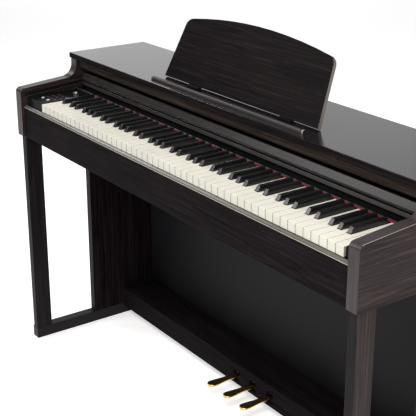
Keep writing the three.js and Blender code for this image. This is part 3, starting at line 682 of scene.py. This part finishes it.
# ---- Controls ----------------------------------------------------------------------------------
def make_knob():
    """The volume knob: a ribbed cap on a thinner stem, with a mark on top."""
    low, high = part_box("volume_knob")
    centre = box_centre("volume_knob")
    radius = (high.x - low.x) / 2
    height = (high.z - low.z) / MM
    stem, skirt = 5.4, 6.6
    levels = ((0.38, 0), (0.38, stem - 0.1), (0.97, stem), (1.0, skirt), (0.93, height - 1.6),
              (0.88, height - 0.6), (0.8, height - 0.1), (0.72, height - 0.3), (0.05, height - 0.5))
    ribs = 24
    bm = bmesh.new()
    rings = []
    for shrink, z in levels:
        ring = []
        for i in range(ribs * 4):
            a = 2 * math.pi * i / (ribs * 4)
            ribbed = 1 - (0.02 if i % 4 == 0 and skirt < z < height - 0.5 else 0)
            r = radius * shrink * ribbed
            ring.append((centre[0] + r * math.cos(a), centre[1] + r * math.sin(a), low.z + z * MM))
        rings.append(ring)
    loft(bm, rings)
    fit(mesh_object("volume_knob_ribbed", bm, SMOKED), "volume_knob", "black_plastic", "volume_knob")
    mark = slab("volume_knob_mark", (centre[0] - 0.5 * MM, centre[1] - radius * 0.68, high.z - 0.7 * MM),
                (centre[0] + 0.5 * MM, centre[1] - radius * 0.2, high.z - 0.1 * MM), GREY, 0.15 * MM)
    fit(mark, "volume_knob", "grey_plastic")


def make_round_buttons():
    """The two round buttons, each dished on top and in a raised ring."""
    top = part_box("control_panel")[1].z
    for name in ("power_button", "demo_button"):
        low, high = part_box(name)
        centre = box_centre(name)
        height = (high.z - low.z) / MM
        profile = [(2, 0), (2, 2), (5.9, 2.1), (5.9, 4), (4.5, 4.1), (4.5, height - 1),
                   (4.2, height - 0.35), (3.6, height), (3.0, height - 0.25), (0.4, height - 0.3)]
        cap = turned(name + "_cap", in_mm(profile), (*centre, low.z), GREY, 48)
        fit(cap, name, "grey_plastic", name)
        rim = [(5.0, -0.6), (6.1, -0.5), (6.1, 0.3), (5.8, 0.6), (5.2, 0.6), (5.0, 0.2)]
        # The raised ring is dark grey as a painted highlight.
        ring = hoop(name + "_ring", in_mm(rim), (*centre, top), RING_EDGE_HIGHLIGHT, 48)
        fit(ring, "cabinet", "black_plastic")


BUTTON_COLUMNS = (1, 2, 3)


def button_centres(column):
    """The centres of the three function buttons of a column."""
    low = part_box(f"function_buttons_{column}")[0]
    middle = box_centre(f"function_buttons_{column}")[0]
    return [(middle, low.y + (5 + 18 * row) * MM) for row in range(3)]


def make_function_buttons():
    """Columns of three function buttons on a common bar under the panel."""
    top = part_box("control_panel")[1].z
    for column in BUTTON_COLUMNS:
        name = f"function_buttons_{column}"
        low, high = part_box(name)
        bm = bmesh.new()
        for middle, y in button_centres(column):
            box_into(bm, (middle - 5.5 * MM, y - 2.5 * MM, low.z + MM),
                     (middle + 5.5 * MM, y + 2.5 * MM, top + 1.4 * MM))
        box_into(bm, low, (high.x, high.y, low.z + 2 * MM))
        fit(mesh_object(f"button_row_{column}", bm, BUTTON, 0.5 * MM, 3), name, "grey_plastic", name)


def make_button_frames():
    """A thin raised frame round each function button, on the control panel."""
    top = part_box("control_panel")[1].z
    bm = bmesh.new()
    for column in BUTTON_COLUMNS:
        for centre in button_centres(column):
            frame_into(bm, centre, (6.0 * MM, 3.0 * MM), 0.7 * MM, top - 0.2 * MM, top + 0.5 * MM)
    # The frames are dark grey as painted highlights round the buttons.
    fit(mesh_object("button_frames", bm, RING_EDGE_HIGHLIGHT, 0.15 * MM, 2), "cabinet", "black_plastic")


def frame_into(bm, centre, half, border, z0, z1):
    """A flat rectangular frame around centre; half is the half size of its opening."""
    x, y = centre
    rings = []
    for grow, z in ((0, z0), (border, z0), (border, z1), (0, z1)):
        w, d = half[0] + grow, half[1] + grow
        corners = ((x - w, y - d, z), (x + w, y - d, z), (x + w, y + d, z), (x - w, y + d, z))
        rings.append([bm.verts.new(corner) for corner in corners])
    for inner, outer in zip(rings, rings[1:] + rings[:1]):
        for i in range(4):
            j = (i + 1) % 4
            bm.faces.new((inner[i], inner[j], outer[j], outer[i]))


# ---- Pedals and screw foot ---------------------------------------------------------------------
PEDAL_STEPS = 40
PEDAL_NECK = 48 * MM


def make_pedals():
    """Polished pedals: a rounded spoon on a narrower stem, a little crowned across."""
    for name in ("soft_pedal", "sostenuto_pedal", "damper_pedal"):
        low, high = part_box(name)
        spoon = (high.x - low.x) / 2
        stem = spoon * 9 / 14
        centre = box_centre(name)[0]
        rings = []
        for step in range(PEDAL_STEPS + 1):
            y = low.y + (high.y - low.y) * (step / PEDAL_STEPS) ** 1.6
            rings.append(pedal_ring(centre, y, pedal_half(y - low.y, spoon, stem), low.z, high.z))
        bm = bmesh.new()
        loft(bm, rings)
        fit(mesh_object(name + "_cast", bm, BRASS), name, "brass", name)


def pedal_half(run, spoon, stem):
    """Half width of a pedal at a distance run from its tip."""
    if run < spoon:
        return max(0.12 * spoon, math.sqrt(max(0.0, spoon ** 2 - (spoon - run) ** 2)))
    neck = min(1.0, (run - spoon) / PEDAL_NECK)
    return spoon + (stem - spoon) * (3 * neck ** 2 - 2 * neck ** 3)


def pedal_ring(centre, y, half, low, high, steps=28):
    """A section of a pedal: an oblong with well-rounded sides and a slight crown."""
    middle, tall = (low + high) / 2, (high - low) / 2
    ring = []
    for i in range(steps):
        a = 2 * math.pi * i / steps
        c, s = math.cos(a), math.sin(a)
        ring.append((centre + half * math.copysign(abs(c) ** 0.45, c), y,
                     middle + tall * math.copysign(abs(s) ** 0.6, s)))
    return ring


def make_screw_foot():
    """The foot under the pedal box: a knurled pad on a threaded rod."""
    low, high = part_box("adjuster_foot")
    centre = box_centre("adjuster_foot")
    radius = (high.x - low.x) / 2
    bm = bmesh.new()
    knurls = 30
    rings = []
    for shrink, z, knurled in ((0.9, 0, 0), (0.97, 0.8, 0), (1.0, 1.5, 1), (1.0, 6, 1), (0.93, 7, 0),
                               (0.8, 8, 0), (0.36, 9, 0)):
        ring = []
        for i in range(knurls * 4):
            a = 2 * math.pi * i / (knurls * 4)
            r = radius * shrink * (0.95 if knurled and i % 4 == 0 else 1.0)
            ring.append((centre[0] + r * math.cos(a), centre[1] + r * math.sin(a), low.z + z * MM))
        rings.append(ring)
    loft(bm, rings)
    fit(mesh_object("adjuster_foot_knurled", bm, RUBBER), "adjuster_foot", "black_plastic", "adjuster_foot")
    thread = [(5.2, 8.9)]
    turns = int(((high.z - low.z) / MM - 10) / 1.5)
    for turn in range(turns):
        thread += [(5.2, 9.2 + 1.5 * turn), (6.0, 9.9 + 1.5 * turn)]
    thread += [(5.2, 9.6 + 1.5 * turns), (4.4, 10.2 + 1.5 * turns)]
    screw = turned("adjuster_screw_thread", in_mm(thread), (*centre, low.z), STEEL, 32)
    fit(screw, "adjuster_foot", "steel")


# ---- Music rest details ------------------------------------------------------------------------
def make_rest_details():
    """Round caps on the ends of the ledge, and the rubber sleeve on the foot of the prop."""
    for side, end in (("left", 0), ("right", 1)):
        low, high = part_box("music_ledge")
        x = (low.x, high.x)[end]
        outward = 1 if end else -1
        middle = (low.y + high.y) / 2
        half = (high.y - low.y) / 2
        bm = bmesh.new()
        rings = []
        for grow, out in ((1.0, -5.0), (1.06, -4.6), (1.06, -0.6), (0.95, 0.0)):
            rings.append(arch(x + outward * out * MM, middle, low.z, half * grow, (high.z - low.z) * grow))
        loft(bm, rings)
        fit(mesh_object(f"{side}_ledge_cap", bm, LEDGE_CAP, 0.3 * MM), "cabinet", "rosewood")
    low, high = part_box("rest_prop")
    foot_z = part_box("top_board")[1].z
    bm = bmesh.new()
    sleeve = [(0.4 * MM, low.x - 1.2 * MM), (2.6 * MM, low.x - 1.2 * MM), (3.0 * MM, low.x - 0.6 * MM)]
    sleeve += [(3.0 * MM, high.x + 0.6 * MM), (2.6 * MM, high.x + 1.2 * MM), (0.4 * MM, high.x + 1.2 * MM)]
    turn_into(bm, sleeve, (0, high.y - 2.4 * MM, foot_z + 3.2 * MM), 28, 0)
    fit(mesh_object("prop_foot_sleeve", bm, RUBBER), "rest_prop", "black_plastic")


def arch(x, middle, base, half, height, steps=14):
    """An arched section standing on base, square below and round above."""
    points = []
    for i in range(steps + 1):
        a = math.pi * i / steps
        points.append((x, middle + half * math.cos(a), base + height * (0.35 + 0.65 * math.sin(a))))
    return points + [(x, middle - half, base), (x, middle + half, base)]


# ---- Underside, inside and back ----------------------------------------------------------------
PAN_HEAD = [(1.0, -0.3), (1.0, 0.7), (0.86, 1.5), (0.55, 2.0), (0.5, 1.2), (0.1, 1.0)]
PANEL_SCREW = 4.0 * MM
SUNK_HEAD = [(1.0, -1.0), (1.0, 0.0), (0.92, 0.12), (0.5, 0.12), (0.4, -0.7), (0.1, -0.9)]


def screws(name, points, normal, body, radius=3.6 * MM, head=PAN_HEAD):
    """Screw heads standing on points along normal, an axis direction; head is (share of radius, mm)."""
    axis = max(range(3), key=lambda i: abs(normal[i]))
    sign = 1 if normal[axis] > 0 else -1
    profile = [(share * radius, sign * height * MM) for share, height in head]
    bm = bmesh.new()
    for point in points:
        turn_into(bm, profile, point, 20, axis)
    fit(mesh_object(name, bm, STEEL), body, "steel")


def evenly(start, end, count):
    """count places from start to end."""
    return [start + (end - start) * i / (count - 1) for i in range(count)]


def make_back():
    """Rows of flush screws in the two back panels."""
    low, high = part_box("rear_panel")
    rows = [(x, high.y, z) for z in (low.z + 20 * MM, high.z - 12 * MM)
            for x in evenly(low.x + 30 * MM, high.x - 30 * MM, 9)]
    screws("rear_panel_screws", rows, (0, 1, 0), "cabinet", PANEL_SCREW, SUNK_HEAD)
    low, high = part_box("kick_board")
    rows = [(x, high.y, z) for x in (low.x + 12 * MM, high.x - 12 * MM)
            for z in evenly(low.z + 40 * MM, high.z - 40 * MM, 4)]
    screws("kick_board_screws", rows, (0, 1, 0), "cabinet", PANEL_SCREW, SUNK_HEAD)


def make_underside():
    """Screws, grilles, inlet pins and steel angles under the key bed."""
    bed_low, bed_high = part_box("key_bed")
    rows = [(x, y, bed_low.z) for y in (bed_low.y + 40 * MM, bed_high.y - 40 * MM)
            for x in evenly(bed_low.x + 60 * MM, bed_high.x - 60 * MM, 7)]
    screws("key_bed_screws", rows, (0, 0, -1), "cabinet", PANEL_SCREW)
    for side in ("left", "right"):
        make_grille(f"{side}_speaker_grille", box_centre(f"{side}_speaker"), bed_low.z)
    inlet_x, inlet_y = box_centre("power_inlet")
    pin_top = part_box("power_inlet")[1].z - 6.5 * MM
    pins = bmesh.new()
    for x in (-3.5, 3.5):
        turn_into(pins, in_mm([(1.1, 0), (1.1, -7.5), (0.6, -8.3)]), (inlet_x + x * MM, inlet_y, pin_top), 16)
    fit(mesh_object("inlet_pins", pins, BRASS), "cabinet", "brass")
    for side, outward in (("left", -1), ("right", 1)):
        low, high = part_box(f"{side}_side_panel")
        inner = high.x if outward < 0 else low.x
        make_bracket(f"{side}_bracket", inner, -outward, box_centre(f"{side}_side_panel")[1], bed_low.z)


def make_grille(name, centre, under):
    """A round moulded grille over a speaker's mouth: rings on radial spokes, in a flat rim."""
    bm = bmesh.new()
    for radius in (14, 26, 38, 50):
        section = [(radius - 1.2, -0.4), (radius + 1.2, -0.4), (radius + 1.0, -1.8), (radius - 1.0, -1.8)]
        hoop_into(bm, in_mm(section), (*centre, under), 56)
    hoop_into(bm, in_mm([(52, 0), (58, 0), (58, -1.6), (56.5, -2.4), (52, -2.4)]), (*centre, under), 72)
    spokes = 12
    for i in range(spokes):
        a = 2 * math.pi * i / spokes
        across_bar = Vector((-math.sin(a), math.cos(a), 0)) * MM
        outward = Vector((math.cos(a), math.sin(a), 0))
        rings = []
        for distance in (6 * MM, 54 * MM):
            middle = Vector((*centre, under)) + outward * distance
            rings.append([middle + side * across_bar + Vector((0, 0, z * MM))
                          for side, z in ((-1, -0.5), (1, -0.5), (1, -1.6), (-1, -1.6))])
        loft(bm, rings)
    turn_into(bm, in_mm([(0.5, -0.3), (7, -0.3), (7, -1.7), (6, -2.2), (0.5, -2.4)]), (*centre, under), 40)
    fit(mesh_object(name, bm, BLACK), "cabinet", "black_plastic")


def make_bracket(name, inner, inward, y, top):
    """A steel angle that holds the key bed to a side panel, with two screws in each leaf."""
    leaf, sheet, half, clear = 32 * MM, 2.5 * MM, 28 * MM, 0.4 * MM
    corner_x, corner_z = inner + inward * clear, top - clear
    outline = [(0, 0), (leaf, 0), (leaf, -sheet), (sheet, -sheet), (sheet, -leaf), (0, -leaf)]
    bm = bmesh.new()
    loft(bm, [[(corner_x + inward * run, end, corner_z + drop) for run, drop in outline]
              for end in (y - half, y + half)])
    fit(mesh_object(name, bm, STEEL, 0.5 * MM), "cabinet", "steel")
    for spot, place in (("front", y - half / 2), ("back", y + half / 2)):
        bed_point = (inner + inward * leaf * 0.6, place, corner_z - sheet)
        side_point = (corner_x + inward * sheet, place, top - leaf * 0.6)
        screws(f"{name}_{spot}_bed_screw", [bed_point], (0, 0, -1), "cabinet")
        screws(f"{name}_{spot}_side_screw", [side_point], (inward, 0, 0), "cabinet")


def make_pedal_frame_screws():
    """Screws along the front edge of the pedals' frame."""
    low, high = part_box("pedal_frame")
    rows = [(x, low.y + 12 * MM, low.z) for x in evenly(low.x + 20 * MM, high.x - 20 * MM, 4)]
    screws("pedal_frame_screws", rows, (0, 0, -1), "cabinet")


make_keyboard()
finish_cad_nodes()
make_cover_rail()
make_trim()
make_cheek_highlights()
make_track_lips()
make_knob()
make_round_buttons()
make_function_buttons()
make_button_frames()
make_pedals()
make_screw_foot()
make_rest_details()
make_back()
make_underside()
make_pedal_frame_screws()


# ---- Stage, light and camera -------------------------------------------------------------------
FLOOR_GLOW = 0.5
FLOOR_HALF = 30
WORLD_LIGHT = 0.14
CARD_POWERS = (33, 31, 24, 14)
CARD_STRIP = 1.75
CARD_AIM = Vector((6.5, -5.2, -1.7))
LIGHTS = {
    # name: (place, target, size, power)
    "overhead": ((0.8, 0.0, 4.5), (0, 0, 0), (8, 8), 200),
    "left_lamp": ((-3.2, -1.0, 2.9), (0, -0.1, 0.8), (1.0, 1.0), 42),
    "front_card": ((-1.7, -2.15, 2.05), (0.5, -0.1, 0.77), (0.9, 1.0), 22),
    "right_box": ((2.2, -1.0, 0.95), (0.6, -0.1, 0.65), (0.8, 0.8), 20),
    "right_lamp": ((1.5, -1.3, 2.4), (0.6, -0.1, 0.76), (0.6, 0.6), 36),
}
# The camera as fitted to the photograph; angles in radians
CAMERA_PLACE = (1.9685, -1.4442, 1.5174)
CAMERA_DIP = 0.351
CAMERA_TURN = 0.955
CAMERA_LENS = 91.25
CAMERA_SHIFT = -0.0317


def make_floor():
    """A white paper sweep that glows a little, so that it stays pale under the soft shadow."""
    paint = Paint("floor_paper", roughness=0.8, specular=0.2)
    paper = paint.noise((30.0, 30.0, 30.0), detail=2.0)
    paint.colour(paint.ramp(paper, [(0.3, (0.86, 0.86, 0.86)), (0.7, (0.88, 0.88, 0.88))]))
    paint.shader.inputs["Emission Color"].default_value = (1.0, 1.0, 1.0, 1.0)
    paint.shader.inputs["Emission Strength"].default_value = FLOOR_GLOW
    bm = bmesh.new()
    corners = [(-1, -1), (1, -1), (1, 1), (-1, 1)]
    bm.faces.new([bm.verts.new((x * FLOOR_HALF, y * FLOOR_HALF, -0.5 * MM)) for x, y in corners])
    mesh_object("floor", bm, paint.material)


def area_light(name, location, target, size, power):
    """A white rectangular light at location that faces target."""
    light = bpy.data.lights.new(name, "AREA")
    light.shape = "RECTANGLE"
    light.size, light.size_y = size
    light.energy = power
    obj = bpy.data.objects.new(name, light)
    obj.location = location
    obj.rotation_euler = (Vector(target) - Vector(location)).to_track_quat("-Z", "Y").to_euler()
    bpy.context.scene.collection.objects.link(obj)


def make_back_card():
    """A tall card far behind the bass end, in strips that fade towards the treble side."""
    centre, across_card = Vector((-6.5, 5.2, 2.6)), Vector((0.62, 0.78, 0))
    for index, power in enumerate(CARD_POWERS):
        place = centre + across_card * (index - (len(CARD_POWERS) - 1) / 2) * CARD_STRIP
        area_light(f"back_card_{index + 1}", place, place + CARD_AIM, (CARD_STRIP, 5), power)


def make_world():
    """White where the camera sees it, and a weak fill light on the piano."""
    world = bpy.data.worlds.new("studio")
    bpy.context.scene.world = world
    world.use_nodes = True
    tree = world.node_tree
    background = tree.nodes["Background"]
    background.inputs["Color"].default_value = (1, 1, 1, 1)
    path = tree.nodes.new("ShaderNodeLightPath")
    scale = tree.nodes.new("ShaderNodeMapRange")
    scale.inputs["To Min"].default_value = WORLD_LIGHT
    scale.inputs["To Max"].default_value = 1.0
    tree.links.new(path.outputs["Is Camera Ray"], scale.inputs["Value"])
    tree.links.new(scale.outputs["Result"], background.inputs["Strength"])


def make_camera():
    """The photograph's viewpoint."""
    camera = bpy.data.cameras.new("camera")
    camera.sensor_width = 36
    camera.lens = CAMERA_LENS
    camera.shift_y = CAMERA_SHIFT
    camera.clip_end = 200
    obj = bpy.data.objects.new("camera", camera)
    obj.location = CAMERA_PLACE
    obj.rotation_euler = (math.pi / 2 - CAMERA_DIP, 0, CAMERA_TURN)
    bpy.context.scene.collection.objects.link(obj)
    bpy.context.scene.camera = obj


make_floor()
make_world()
make_back_card()
for light_name, setting in LIGHTS.items():
    area_light(light_name, *setting)
make_camera()
bpy.context.scene.view_settings.view_transform = "Standard"
